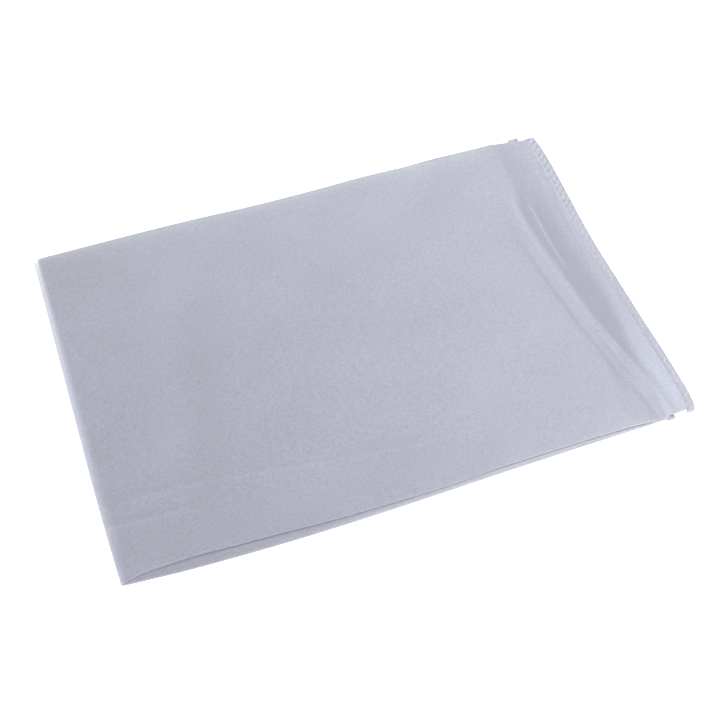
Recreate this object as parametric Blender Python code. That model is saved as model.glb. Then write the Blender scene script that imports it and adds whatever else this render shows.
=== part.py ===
"""A satin pocket square, hemmed on four sides and folded into a flat rectangle.

The cut is a square of 330 mm. It is folded in thirds and then in half, so that two packets of
three layers lie on each other, with the last fold on the left and the hemmed ends on the right.
X runs along the long side, Y from the front creases to the back ones and Z up. Sizes are in
millimetres and become metres in the meshes.
"""
import math

import bmesh
import bpy
import numpy as np

MM = 0.001

# Driving sizes of the folded cloth
HALF_LENGTH = 84.45
WALL = 1.0
SEAM_GAP = 0.3
HEM_WIDTH = 3.0
UPPER_HEM_THICK = 1.2
LOWER_HEM_THICK = 1.0
STITCH_OFFSET = 2.05
STITCH_GROOVE = 0.12

# Heights above the surface that the cloth lies on
STACK_HEIGHT = 3.5
CREASE_HEIGHT = 3.0
FOLD_HEIGHT = 3.2
CORNER_HEIGHT = 2.2
MARGIN_HEIGHT = 1.3

# How far the left fold turns out, and how soon the heights above change
FOLD_REACH = 1.6
SHOULDER = 2.2
PINCH_LENGTH = 14.0
PINCH_THINNING = 0.15
CREST_PAST_HEM = 2.6

# How far the hidden layers stay inside the creases, the fold and the lower hem
INNER_SETBACK = 1.6
INNER_LEFT_SETBACK = 2.0
INNER_RIGHT_SETBACK = 3.4
TROUGH_ROOM = 0.16

# Front crease of the upper packet: x, y
UPPER_FRONT = (
    (-84.3, -58.5), (-80.8, -58.3), (-78.0, -57.8), (-70.0, -57.5), (-63.0, -57.4),
    (-53.7, -57.8), (-41.4, -58.2), (-26.2, -58.9), (-13.0, -59.1), (8.3, -59.0),
    (26.3, -58.2), (53.7, -57.7), (66.0, -57.8), (74.0, -57.3), (77.5, -56.6), (81.0, -56.2),
)
# Back crease of the upper packet: x, y
UPPER_BACK = (
    (-84.3, 58.4), (-30.0, 58.5), (-17.8, 58.1), (9.0, 58.2), (22.8, 58.6), (36.4, 58.3),
    (46.6, 57.6), (59.0, 58.2), (70.0, 59.2), (76.0, 58.9), (81.0, 58.9),
)
# Front crease of the lower packet, a strip that shows under the upper one: x, y
LOWER_FRONT = (
    (-84.3, -58.4), (-81.2, -58.6), (-75.9, -59.0), (-69.3, -59.5), (-59.9, -59.9),
    (-49.0, -60.2), (-26.7, -60.4), (-9.5, -60.1), (8.1, -59.6), (26.1, -59.0),
    (44.5, -58.5), (60.0, -58.1), (69.5, -57.6), (76.0, -57.2),
)
# Back crease of the lower packet, which reaches out behind the upper one: x, y
LOWER_BACK = ((-84.3, 58.6), (-20.0, 58.8), (30.0, 59.2), (60.0, 59.8), (76.0, 60.0))
# Outer side of the left fold: y, x
LEFT_FOLD = ((-58.0, -83.8), (-47.0, -84.1), (-30.0, -84.4), (-14.0, -84.45), (59.0, -84.45))
# Outer side of the upper hem: y, x
UPPER_RIGHT = (
    (-57.4, 82.8), (-56.0, 83.6), (-53.0, 84.2), (-46.0, 84.4), (-37.0, 84.4), (-23.0, 84.0),
    (-6.7, 83.6), (8.0, 83.2), (20.0, 83.4), (33.0, 83.9), (47.0, 84.3), (53.0, 84.2), (58.8, 83.7),
)
# Outer side of the lower hem: y, x
LOWER_RIGHT = ((-57.6, 76.1), (-20.0, 76.7), (20.0, 77.3), (60.4, 77.9))

# Front and back ends of the hems, which stand a little proud of the creases: y, y
UPPER_HEM_ENDS = (-57.3, 58.8)
LOWER_HEM_ENDS = (-57.7, 60.3)

# Ridges that hidden hems raise in the upper face, and the soft troughs beside them.
# line: y, distance from the hemmed edge. fade: y where it starts, is full, is full still and ends
RELIEF = (
    {"height": 0.36, "half_width": 1.9, "fade": (-56.0, -48.0, 26.0, 46.0),
     "line": ((-54.0, 8.9), (-34.0, 12.4), (-19.0, 13.0), (-7.0, 15.7), (4.0, 16.5),
              (20.0, 18.9), (35.0, 18.6))},
    {"height": 0.22, "half_width": 1.2, "fade": (-14.0, 0.0, 26.0, 38.0),
     "line": ((-6.0, 13.3), (18.0, 14.2), (34.0, 14.8))},
    {"height": 0.16, "half_width": 0.8, "fade": (6.0, 20.0, 52.0, 60.0),
     "line": ((10.0, 3.9), (58.0, 4.2))},
    {"height": -0.14, "half_width": 2.2, "fade": (-58.0, -46.0, 20.0, 44.0),
     "line": ((-52.0, 12.0), (-20.0, 16.6), (30.0, 22.0))},
    {"height": -0.12, "half_width": 1.8, "fade": (-48.0, -30.0, 24.0, 44.0),
     "line": ((-30.0, 9.4), (30.0, 11.2))},
)

# Columns of the upper face: distance from the hemmed edge, then distance from the left fold
MARGIN_STATIONS = (
    3.9, 4.5, 5.1, 5.8, 6.8, 7.8, 8.8, 9.8, 10.9, 12.0, 13.1, 14.2, 15.4, 16.6, 17.8, 19.2, 21.0, 24.0,
)
PANEL_STATIONS = (135.0, 120.0, 103.0, 86.0, 69.0, 52.0, 38.0, 26.0, 17.0, 11.0, 7.0, 4.0)
FOLD_COLUMNS = 8
UNDER_COLUMNS = 11
ROWS = 23
ROW_CROWDING = 0.09
RIM_STEPS = 4

# Edge of the hidden layers, a groove between two lips: share of the height, how far it draws in
LAYERED_EDGE = (
    (0.0, 0.30), (0.14, 0.04), (0.30, 0.0), (0.44, 0.10), (0.50, 0.34), (0.56, 0.10),
    (0.70, 0.0), (0.86, 0.04), (1.0, 0.30),
)
INNER_COLUMNS = 26
INNER_ROWS = 12

# Ends of a hem, which round off: distance past the end, share of the size left
HEM_ROUNDING = ((0.10, 0.45), (0.06, 0.80))

SATIN = {"name": "silver_satin", "colour": (0.48, 0.50, 0.58, 1.0), "roughness": 0.42}
SATIN_INSIDE = {"name": "silver_satin_inside", "colour": (0.42, 0.44, 0.52, 1.0), "roughness": 0.5}
SATIN_HEM = {"name": "silver_satin_hem", "colour": (0.53, 0.55, 0.63, 1.0), "roughness": 0.4}


def curve(rows):
    """A smooth curve through a table's rows, read at any value of its first column."""
    at = np.array([row[0] for row in rows])
    value = np.array([row[1] for row in rows])
    slope = np.gradient(value, at)

    def read(where):
        where = np.clip(where, at[0], at[-1])
        i = np.clip(np.searchsorted(at, where, side="right") - 1, 0, len(at) - 2)
        span = at[i + 1] - at[i]
        t = (where - at[i]) / span
        start = (2 * t**3 - 3 * t**2 + 1) * value[i] + (t**3 - 2 * t**2 + t) * span * slope[i]
        end = (3 * t**2 - 2 * t**3) * value[i + 1] + (t**3 - t**2) * span * slope[i + 1]
        return start + end

    return read


upper_front = curve(UPPER_FRONT)
upper_back = curve(UPPER_BACK)
lower_front = curve(LOWER_FRONT)
lower_back = curve(LOWER_BACK)
left_fold = curve(LEFT_FOLD)
upper_right = curve(UPPER_RIGHT)
lower_right = curve(LOWER_RIGHT)


def ease(value, low, high):
    """0 below low, 1 above high, smooth between."""
    t = np.clip((value - low) / (high - low), 0.0, 1.0)
    return t * t * (3 - 2 * t)


def pinch(x, y):
    """1 at the front end of the left fold, where the cloth is pressed flat, and 0 away from it."""
    from_corner = math.hypot(x - left_fold(y), y - upper_front(x))
    return 1 - ease(from_corner, 0.0, PINCH_LENGTH)


def relief(offset, y):
    """Height of the ridges and troughs at a distance from the hemmed edge."""
    total = 0.0
    for bump in RELIEF:
        off_line = (offset - curve(bump["line"])(y)) / bump["half_width"]
        starts, full, still_full, ends = bump["fade"]
        strength = ease(y, starts, full) * (1 - ease(y, still_full, ends))
        total += bump["height"] * strength * math.exp(-off_line * off_line)
    return total


def stack_top(x, y):
    """Height of the upper face at a point of the plan, without its ridges and troughs."""
    to_crease = max(min(y - upper_front(x), upper_back(x) - y), 0.0)
    height = STACK_HEIGHT - (STACK_HEIGHT - CREASE_HEIGHT) * math.exp(-to_crease / SHOULDER)
    to_fold = max(x - left_fold(y), 0.0)
    height += (min(FOLD_HEIGHT, height) - height) * math.exp(-to_fold / (2 * SHOULDER))
    height += (CORNER_HEIGHT - height) * pinch(x, y)
    # Past the lower packet's end the upper one comes down to the surface
    offset = upper_right(y) - x
    drop_end = HEM_WIDTH + SEAM_GAP
    crest = upper_right(y) - lower_right(y) + CREST_PAST_HEM
    t = min(max((offset - drop_end) / (crest - drop_end), 0.0), 1.0)
    return MARGIN_HEIGHT + (height - MARGIN_HEIGHT) * math.sin(t * math.pi / 2)


def row_shares():
    """Places of the rows from the front crease to the back one, closer together near both."""
    even = np.linspace(0.0, 1.0, ROWS)
    return even - ROW_CROWDING * np.sin(2 * np.pi * even)


def grid_rim(columns, rows):
    """The places along the edge of a grid, once round."""
    rim = [(i, 0) for i in range(columns - 1)]
    rim += [(columns - 1, j) for j in range(rows - 1)]
    rim += [(i, rows - 1) for i in range(columns - 1, 0, -1)]
    rim += [(0, j) for j in range(rows - 1, 0, -1)]
    return rim


def bridge(loops):
    """Faces between loops of point numbers that follow each other."""
    faces = []
    for first, second in zip(loops, loops[1:]):
        for k in range(len(first)):
            n = (k + 1) % len(first)
            faces.append((first[k], second[k], second[n], first[n]))
    return faces


def unit(vector):
    return vector / np.linalg.norm(vector)


def cloth_wall(middle, thick):
    """A closed wall with rounded rims, from a grid of middle points and the thickness at each."""
    across = np.gradient(middle, axis=0)
    along = np.gradient(middle, axis=1)
    normal = np.cross(across, along)
    normal /= np.linalg.norm(normal, axis=2, keepdims=True)
    half = thick[..., None] / 2
    columns, rows = thick.shape
    count = columns * rows
    points = list((middle + normal * half).reshape(-1, 3))
    points += list((middle - normal * half).reshape(-1, 3))
    faces = []
    for i in range(columns - 1):
        for j in range(rows - 1):
            a = i * rows + j
            b = a + rows
            faces.append((a, b, b + 1, a + 1))
            faces.append((count + a + 1, count + b + 1, count + b, count + a))
    rim = grid_rim(columns, rows)
    loops = [[i * rows + j for i, j in rim]]
    for step in range(1, RIM_STEPS):
        angle = math.pi * step / RIM_STEPS
        loops.append([])
        for i, j in rim:
            out = np.zeros(3)
            if i in (0, columns - 1):
                out += unit(across[i, j]) * (1 if i else -1)
            if j in (0, rows - 1):
                out += unit(along[i, j]) * (1 if j else -1)
            turned = normal[i, j] * math.cos(angle) + unit(out) * math.sin(angle)
            loops[-1].append(len(points))
            points.append(middle[i, j] + turned * thick[i, j] / 2)
    loops.append([count + i * rows + j for i, j in rim])
    return points, faces + bridge(loops)


def add_object(name, points, faces, satin):
    """One named object with its own material, faces pointing out and shaded smooth."""
    mesh = bpy.data.meshes.new(name)
    mesh.from_pydata([[float(c) * MM for c in point] for point in points], [], faces)
    shape = bmesh.new()
    shape.from_mesh(mesh)
    bmesh.ops.recalc_face_normals(shape, faces=shape.faces)
    shape.to_mesh(mesh)
    shape.free()
    mesh.shade_smooth()
    mesh.set_sharp_from_angle(angle=math.radians(50))
    material = bpy.data.materials.new(satin["name"])
    material.use_nodes = True
    shader = material.node_tree.nodes["Principled BSDF"]
    shader.inputs["Base Color"].default_value = satin["colour"]
    shader.inputs["Roughness"].default_value = satin["roughness"]
    shader.inputs["Metallic"].default_value = 0.0
    mesh.materials.append(material)
    piece = bpy.data.objects.new(name, mesh)
    bpy.context.collection.objects.link(piece)
    return piece


def upper_face():
    """Middle points and thickness of the upper face, column by column from the hem to the fold."""
    stations = [HALF_LENGTH - offset for offset in MARGIN_STATIONS]
    stations += [distance - HALF_LENGTH for distance in PANEL_STATIONS]
    stations.append(FOLD_REACH - HALF_LENGTH)
    columns = []
    thick = []
    for station in stations:
        low = upper_front(station) + WALL / 2
        high = upper_back(station) - WALL / 2
        near_hem = ease(station, 30.0, 62.0)
        near_fold = 1 - ease(station, -80.0, -50.0)
        column = []
        walls = []
        for share in row_shares():
            y = low + (high - low) * share
            x = station + near_hem * (upper_right(y) - HALF_LENGTH) + near_fold * (left_fold(y) + HALF_LENGTH)
            wall = WALL - PINCH_THINNING * pinch(x, y)
            top = stack_top(x, y) + relief(upper_right(y) - x, y)
            column.append((x, y, top - wall / 2))
            walls.append(wall)
        columns.append(column)
        thick.append(walls)
    return columns, thick


def fold_turn(start, walls):
    """The left fold: half a turn from the upper face's last column down to the underside."""
    station = FOLD_REACH - HALF_LENGTH
    low = lower_front(station) + WALL / 2
    high = lower_back(station) - WALL / 2
    columns = []
    for step in range(1, FOLD_COLUMNS + 1):
        angle = math.pi * step / FOLD_COLUMNS
        turned = (1 - math.cos(angle)) / 2
        column = []
        for (x, y, z), wall, share in zip(start, walls, row_shares()):
            under_y = low + (high - low) * share
            middle_z = (z + wall / 2) / 2
            reach = (FOLD_REACH - wall / 2) * math.sin(angle)
            turned_z = middle_z + (z - middle_z) * math.cos(angle)
            column.append((x - reach, y + (under_y - y) * turned, turned_z))
        columns.append(column)
    return columns


def underside(walls):
    """The flat underside, column by column from the fold to the lower hem."""
    start = FOLD_REACH - HALF_LENGTH
    stop = LOWER_RIGHT[0][1] - HEM_WIDTH
    columns = []
    thick = []
    for station in np.linspace(start, stop, UNDER_COLUMNS + 1)[1:]:
        low = lower_front(station) + WALL / 2
        high = lower_back(station) - WALL / 2
        near_hem = ease(station, 20.0, stop)
        full_wall = ease(station, start, start + 2 * PINCH_LENGTH)
        column = []
        grown = []
        for share, wall in zip(row_shares(), walls):
            y = low + (high - low) * share
            end = lower_right(y) - HEM_WIDTH - SEAM_GAP - WALL / 2
            thickness = wall + (WALL - wall) * full_wall
            column.append((station + near_hem * (end - stop), y, thickness / 2))
            grown.append(thickness)
        columns.append(column)
        thick.append(grown)
    return columns, thick


def outer_layer():
    """The middle third of the square: the upper face, the left fold and the whole underside."""
    upper, upper_thick = upper_face()
    walls = upper_thick[-1]
    fold = fold_turn(upper[-1], walls)
    under, under_thick = underside(walls)
    middle = np.array(upper + fold + under)
    thick = np.array(upper_thick + [walls] * FOLD_COLUMNS + under_thick)
    points, faces = cloth_wall(middle, thick)
    return add_object("outer_layer", points, faces, SATIN)


def inner_layers():
    """The hidden layers as one rounded solid, with a groove between layers all round its edge."""
    floor = WALL + SEAM_GAP
    left = INNER_LEFT_SETBACK - HALF_LENGTH
    right = LOWER_RIGHT[0][1] - INNER_RIGHT_SETBACK

    def place(i, j, draw_in):
        along = i / (INNER_COLUMNS - 1)
        x = left + along * (right - left)
        low = max(upper_front(x), lower_front(x)) + INNER_SETBACK + draw_in
        high = min(upper_back(x), lower_back(x)) - INNER_SETBACK - draw_in
        y = low + (high - low) * j / (INNER_ROWS - 1)
        x += along**3 * (lower_right(y) - LOWER_RIGHT[0][1]) + (1 - along) ** 3 * (left_fold(y) + HALF_LENGTH)
        if i == 0:
            x += draw_in
        if i == INNER_COLUMNS - 1:
            x -= draw_in
        return x, y

    def ceiling(x, y):
        return stack_top(x, y) - TROUGH_ROOM * ease(x, 45.0, 58.0) - WALL - SEAM_GAP

    rim = grid_rim(INNER_COLUMNS, INNER_ROWS)
    points = []
    loops = []
    for share, draw_in in LAYERED_EDGE:
        loops.append([])
        for i, j in rim:
            x, y = place(i, j, draw_in)
            loops[-1].append(len(points))
            points.append((x, y, floor + (ceiling(x, y) - floor) * share))
    faces = bridge(loops)
    for loop, is_upper in ((loops[0], False), (loops[-1], True)):
        number = dict(zip(rim, loop))
        for i in range(1, INNER_COLUMNS - 1):
            for j in range(1, INNER_ROWS - 1):
                x, y = place(i, j, 0.0)
                number[i, j] = len(points)
                points.append((x, y, ceiling(x, y) if is_upper else floor))
        for i in range(INNER_COLUMNS - 1):
            for j in range(INNER_ROWS - 1):
                faces.append((number[i, j], number[i + 1, j], number[i + 1, j + 1], number[i, j + 1]))
    return add_object("inner_layers", points, faces, SATIN_INSIDE)


def hem(name, edge, ends, thick, stations):
    """A turned hem: a flat band with rounded sides and a shallow groove along its stitches."""
    # Once round the section: distance from the outer edge, share of the thickness
    section = (
        (0.0, 0.50), (0.10, 0.78), (0.42, 1.0), (1.10, 1.0), (STITCH_OFFSET - 0.35, 0.98),
        (STITCH_OFFSET, 1.0 - STITCH_GROOVE / thick), (STITCH_OFFSET + 0.35, 0.98), (2.72, 0.94),
        (HEM_WIDTH, 0.50), (2.80, 0.10), (2.50, 0.0), (0.50, 0.0), (0.16, 0.14),
    )
    first, last = ends
    places = [(first - past, size) for past, size in HEM_ROUNDING]
    places += [(y, 1.0) for y in np.linspace(first, last, stations)]
    places += [(last + past, size) for past, size in reversed(HEM_ROUNDING)]
    points = []
    loops = []
    for y, size in places:
        loops.append([])
        for offset, share in section:
            drawn = HEM_WIDTH / 2 + (offset - HEM_WIDTH / 2) * (1 + size) / 2
            loops[-1].append(len(points))
            points.append((edge(y) - drawn, y, thick / 2 + (share - 0.5) * thick * size))
    faces = bridge(loops)
    faces.append(tuple(loops[0]))
    faces.append(tuple(reversed(loops[-1])))
    return add_object(name, points, faces, SATIN_HEM)


def centre_on_origin(pieces):
    """Brings the middle of the whole outline to the origin, with the underside at height 0."""
    corners = np.array([vertex.co for piece in pieces for vertex in piece.data.vertices])
    low = corners.min(axis=0)
    high = corners.max(axis=0)
    shift = (-(low[0] + high[0]) / 2, -(low[1] + high[1]) / 2, -low[2])
    for piece in pieces:
        for vertex in piece.data.vertices:
            vertex.co = [c + s for c, s in zip(vertex.co, shift)]


def main():
    for old in list(bpy.data.objects):
        bpy.data.objects.remove(old, do_unlink=True)
    centre_on_origin([
        outer_layer(),
        inner_layers(),
        hem("upper_hem", upper_right, UPPER_HEM_ENDS, UPPER_HEM_THICK, 36),
        hem("lower_hem", lower_right, LOWER_HEM_ENDS, LOWER_HEM_THICK, 18),
    ])


main()
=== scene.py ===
"""A silver-grey satin pocket square, folded flat: cloth, hems, stitches, floor, light and camera.

X runs along the long side from the left fold to the hems, Y from the front creases to the back
ones and Z up. Sizes are in millimetres and become metres in the meshes.
"""
import math

import bmesh
import bpy
import numpy as np
from mathutils import Matrix, Vector

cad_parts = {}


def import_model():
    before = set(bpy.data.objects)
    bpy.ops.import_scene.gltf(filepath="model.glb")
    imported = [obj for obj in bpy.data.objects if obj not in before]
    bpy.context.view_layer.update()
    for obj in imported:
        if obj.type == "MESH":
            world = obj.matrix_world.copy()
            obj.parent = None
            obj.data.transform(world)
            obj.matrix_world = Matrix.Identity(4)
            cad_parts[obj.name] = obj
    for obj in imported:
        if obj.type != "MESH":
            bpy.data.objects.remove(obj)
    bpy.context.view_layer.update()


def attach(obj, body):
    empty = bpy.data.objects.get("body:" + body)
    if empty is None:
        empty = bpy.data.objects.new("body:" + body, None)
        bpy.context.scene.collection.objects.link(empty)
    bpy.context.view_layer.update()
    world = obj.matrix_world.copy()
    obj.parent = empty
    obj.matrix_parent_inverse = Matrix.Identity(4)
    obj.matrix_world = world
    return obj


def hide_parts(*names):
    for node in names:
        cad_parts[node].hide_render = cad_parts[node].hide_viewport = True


MM = 0.001

# Outline of the folded cloth: half its length, x and y of points along each crease, and y and x of
# points along the left fold and the hemmed edges
HALF_LENGTH = 84.45
UPPER_FRONT = (
    (-84.3, -58.5), (-80.8, -58.3), (-78.0, -57.8), (-70.0, -57.5), (-63.0, -57.4),
    (-53.7, -57.8), (-41.4, -58.2), (-26.2, -58.9), (-13.0, -59.1), (8.3, -59.0),
    (26.3, -58.2), (53.7, -57.7), (66.0, -57.6), (74.0, -57.5), (77.5, -57.3), (81.0, -56.9),
)
UPPER_BACK = (
    (-84.3, 58.4), (-30.0, 58.5), (-17.8, 58.1), (9.0, 58.2), (22.8, 58.6), (36.4, 58.3),
    (46.6, 57.6), (59.0, 58.2), (70.0, 59.2), (76.0, 58.9), (81.0, 58.9),
)
LOWER_FRONT = (
    (-84.3, -58.4), (-81.2, -58.6), (-75.9, -59.0), (-69.3, -59.5), (-59.9, -59.9),
    (-49.0, -60.2), (-26.7, -60.4), (-9.5, -60.1), (8.1, -59.6), (26.1, -59.0),
    (44.5, -58.5), (60.0, -58.1), (69.5, -57.8), (76.0, -57.6),
)
LOWER_BACK = ((-84.3, 58.6), (-20.0, 58.8), (30.0, 59.2), (60.0, 59.8), (76.0, 60.0))
LEFT_FOLD = ((-58.0, -83.8), (-47.0, -84.1), (-30.0, -84.4), (-14.0, -84.45), (59.0, -84.45))
UPPER_RIGHT = (
    (-57.4, 83.3), (-56.0, 84.0), (-53.0, 84.5), (-46.0, 84.6), (-37.0, 84.5), (-23.0, 84.0),
    (-6.7, 83.6), (8.0, 83.2), (20.0, 83.4), (33.0, 83.9), (47.0, 84.3), (53.0, 84.2), (58.8, 83.7),
)
LOWER_RIGHT = ((-57.6, 77.2), (-20.0, 77.1), (20.0, 77.5), (60.4, 78.5))
# Y of the two ends of each hem
UPPER_HEM_ENDS = (-57.3, 58.8)
LOWER_HEM_ENDS = (-57.9, 60.5)

# Heights of the upper face
STACK_HEIGHT = 3.5
# At the left fold, and how far the face takes to come down to it
FOLD_HEIGHT = 3.2
FOLD_SHOULDER = 4.0
# At the front end of the fold, where the cloth is pressed flat, and how far that reaches
CORNER_HEIGHT = 2.2
PINCH_LENGTH = 14.0
# The face falls slowly towards a crease and then rounds into it: how far, and how much in the rounding
CREASE_SLOPE = 12.0
FRONT_ROUNDING = (0.8, 0.12)
BACK_ROUNDING = (2.4, 0.55)
# Height of the creases along their length: x, z
FRONT_CREASE_HEIGHT = (
    (-84.0, 2.45), (-72.0, 2.80), (-40.0, 2.85), (-10.0, 2.72), (24.0, 2.60), (40.0, 2.45),
    (57.0, 2.30), (68.0, 2.00), (76.0, 1.60), (81.0, 1.10),
)
BACK_CREASE_HEIGHT = (
    (-84.0, 3.0), (0.0, 3.0), (50.0, 2.95), (64.0, 2.80), (70.0, 2.60), (74.0, 2.40), (77.0, 2.0),
    (81.0, 1.35),
)
# Where the stack is thinner: x, y, reach along x and y, how much lower
SAGS = ((78.0, -58.0, 26.0, 30.0, 0.95), (82.0, 62.0, 20.0, 26.0, 0.55))
# The way down to the hem: y, distance from the hemmed edge of the foot and of the crest, height of
# the foot and of the face beside the hem
DROP = (
    (-58.0, 9.4, 22.0, 1.30, 1.20), (-48.0, 9.6, 24.0, 1.20, 1.26), (-40.0, 9.4, 22.5, 1.10, 1.28),
    (-34.0, 8.4, 19.4, 1.00, 1.27), (-28.0, 7.0, 17.0, 0.92, 1.24), (-22.0, 5.8, 16.2, 0.88, 1.20),
    (-12.0, 5.2, 16.4, 0.90, 1.14), (4.0, 5.2, 17.4, 0.92, 1.04), (20.0, 5.2, 19.0, 0.94, 0.98),
    (36.0, 5.0, 20.8, 0.98, 0.92), (59.0, 4.4, 22.0, 1.00, 0.92),
)
# How much of the way is rounded at the foot and at the crest
DROP_ROUNDING = 0.30

# Ridges and troughs that hidden hems press into the face beside the hem, and slack beside them.
# line: y, distance from the hemmed edge. sides: half-widths away from the hem and towards it.
# fade: y where it starts, is full, is full still and ends
RELIEF = (
    {"height": 0.62, "sides": (0.75, 2.0), "fade": (-62.0, -56.0, -42.0, -28.0),
     "line": ((-57.0, 8.0), (-52.0, 8.9), (-48.0, 9.5), (-41.0, 10.4), (-34.1, 11.5), (-27.4, 13.0))},
    {"height": 0.46, "sides": (0.8, 2.0), "fade": (-42.0, -28.0, 26.0, 38.0),
     "line": ((-41.0, 10.2), (-34.1, 11.3), (-28.0, 12.9), (-18.0, 15.4), (-8.0, 16.3), (2.0, 17.1),
              (12.0, 18.0), (22.0, 18.8), (30.0, 19.0), (45.0, 18.4))},
    {"height": 0.20, "sides": (0.5, 1.8), "fade": (-6.0, 4.0, 26.0, 33.0),
     "line": ((-3.5, 13.0), (12.0, 13.7), (32.0, 13.9))},
    {"height": -0.44, "sides": (1.8, 2.2), "fade": (-48.0, -36.0, 12.0, 34.0),
     "line": ((-46.0, 15.1), (-37.7, 16.1), (-19.7, 18.9), (-3.7, 20.3), (14.3, 21.9), (32.0, 22.8))},
    {"height": -0.42, "sides": (1.5, 1.1), "fade": (-44.0, -37.0, -27.0, -15.0),
     "line": ((-44.0, 11.6), (-36.5, 13.2), (-25.0, 15.6), (-16.0, 17.2))},
    {"height": -0.44, "sides": (1.5, 1.2), "fade": (-60.0, -56.0, -50.0, -44.0),
     "line": ((-58.0, 11.2), (-50.0, 12.4), (-44.0, 13.4))},
    {"height": -0.22, "sides": (1.2, 1.2), "fade": (-49.0, -44.0, -42.0, -36.0),
     "line": ((-48.0, 6.6), (-42.0, 6.2), (-36.0, 6.2))},
    {"height": -0.14, "sides": (0.4, 1.0), "fade": (2.0, 9.0, 26.0, 33.0),
     "line": ((2.0, 4.9), (33.0, 4.7))},
    {"height": -0.08, "sides": (0.4, 0.8), "fade": (26.0, 32.0, 44.0, 49.0),
     "line": ((26.0, 3.9), (50.0, 3.9))},
    {"height": -0.12, "sides": (0.8, 0.8), "fade": (34.0, 38.0, 44.0, 50.0),
     "line": ((34.0, 6.2), (50.0, 6.6))},
    {"height": 0.16, "sides": (1.8, 2.6), "fade": (26.0, 38.0, 62.0, 70.0),
     "line": ((26.0, 16.6), (59.0, 15.6))},
)
# Soft swells of the middle: y and x of the crest, half-widths to the left and to the right, and y
# where it starts, is full, is full still and ends
SWELLS = (
    {"height": 0.55, "sides": (7.0, 7.0), "fade": (-50.0, -24.0, 20.0, 48.0),
     "line": ((-40.0, -57.0), (-29.0, -57.0), (-17.0, -54.0), (8.0, -50.0), (33.0, -44.0))},
    {"height": 0.42, "sides": (7.0, 9.0), "fade": (14.0, 30.0, 38.0, 52.0),
     "line": ((20.0, -2.0), (45.0, -8.0))},
    {"height": 0.40, "sides": (7.5, 9.0), "fade": (-36.0, -18.0, -4.0, 12.0),
     "line": ((-30.0, 62.0), (5.0, 54.0))},
    {"height": 0.45, "sides": (8.0, 8.0), "fade": (-66.0, -50.0, -36.0, -22.0),
     "line": ((-58.0, 23.0), (-25.0, 33.0))},
    {"height": 0.40, "sides": (9.0, 9.0), "fade": (24.0, 44.0, 60.0, 80.0),
     "line": ((30.0, 30.0), (58.0, 46.0))},
    {"height": 0.26, "sides": (6.0, 7.0), "fade": (16.0, 30.0, 38.0, 50.0),
     "line": ((20.0, 20.0), (45.0, 20.0))},
)
# Edges of hidden layers that show faintly along the front: x and y, half-widths towards the front and
# the back, and x where it starts, is full, is full still and ends
SHOW_THROUGH = (
    {"height": -0.13, "sides": (0.9, 1.3), "fade": (-84.0, -76.0, 6.0, 56.0),
     "line": ((-79.5, -34.9), (-60.8, -35.8), (-39.6, -38.1), (-24.8, -40.6), (-9.5, -42.3), (8.8, -43.5),
              (22.0, -44.6), (49.5, -45.0))},
    {"height": -0.15, "sides": (0.8, 1.1), "fade": (-84.0, -78.0, -66.0, -58.0),
     "line": ((-81.0, -41.5), (-72.5, -42.2), (-62.6, -42.8))},
)
# Small wrinkles that the stitches pull into the face: they die out over this distance from the hem
WRINKLE_REACH = 3.4
WRINKLE_HEIGHT = 0.045
# The waves in them: strength, length in stitches, and how far, how slowly and from where it wanders
WRINKLE_WAVES = ((1.0, 1.0, 1.5, 7.3, 0.0), (0.8, 2.1, 2.0, 11.0, 1.0))
# Their strength along the hem: middle, swing, length of the swing, and how far and how slowly it wanders
WRINKLE_SWING = (0.55, 0.45, 5.7, 0.8, 13.0)

# Creases: how far the rounded edge of a packet reaches, how deep the cloth turns in behind it, how
# thick a packet is further in, and over what distance it comes to that
BEAD_REACH = 0.5
RETURN_DEPTH = 8.0
PACKET_THICK = 1.55
PACKET_SHOULDER = 3.0
# Where the lower packet stands out in front: how much thinner its edge is, as a share for each
# millimetre that it stands out, over what distance it comes up again, and how much further its rounded
# edge reaches for each millimetre
STRIP_SLOPE = 0.17
STRIP_SHOULDER = 0.9
STRIP_REACH = 0.5
# Room that the lower packet's turned-in edge leaves under the face, how much more there is near the
# hem, and x where that starts and is full
RETURN_ROOM = 0.45
RETURN_ROOM_AT_HEM = 0.65
RETURN_ROOM_X = (46.0, 60.0)
# Edges of the packets: x, thickness of the upper one, gap between them
FRONT_EDGES = (
    (-84.4, 0.50, 0.16), (-82.4, 0.40, 0.66), (-78.5, 0.30, 1.08), (-74.0, 0.26, 1.12),
    (-67.5, 0.26, 1.04), (-58.0, 0.28, 0.92), (-46.0, 0.32, 0.72), (-30.0, 0.38, 0.50),
    (-13.0, 0.42, 0.32), (24.0, 0.40, 0.27), (53.0, 0.40, 0.28), (66.0, 0.40, 0.30),
    (76.0, 0.36, 0.30), (81.0, 0.32, 0.24),
)
BACK_EDGES = (
    (-84.0, 0.90, 0.20), (-40.0, 0.85, 0.35), (20.0, 0.80, 0.22), (60.0, 0.80, 0.30), (81.0, 0.70, 0.15),
)

# Left fold: how far it turns out along its length: y, reach
FOLD_REACH = ((-58.0, 1.8), (-50.0, 3.0), (-20.0, 3.1), (20.0, 3.0), (59.0, 2.7))
# Tightest turn of its inner rows, along X and along Z
TIGHTEST_TURN = (0.12, 0.05)

# The sheet's own thickness, the height that it lies above the floor, and the angle in degrees from
# which an edge of a mesh is sharp
CLOTH = 0.30
FLOOR_GAP = 0.05
SHARP_ANGLE = 60.0

# Hems: y and width. Then for each one its thickness and the bottom and top of the slot that holds the
# edge of the sheet
HEM_WIDTHS = ((-58.0, 2.45), (-26.0, 2.45), (-4.0, 2.75), (18.0, 3.25), (40.0, 3.40), (59.0, 3.30))
UPPER_HEM = (1.2, 0.50, 0.90)
LOWER_HEM = (0.84, 0.0, 0.36)
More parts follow.
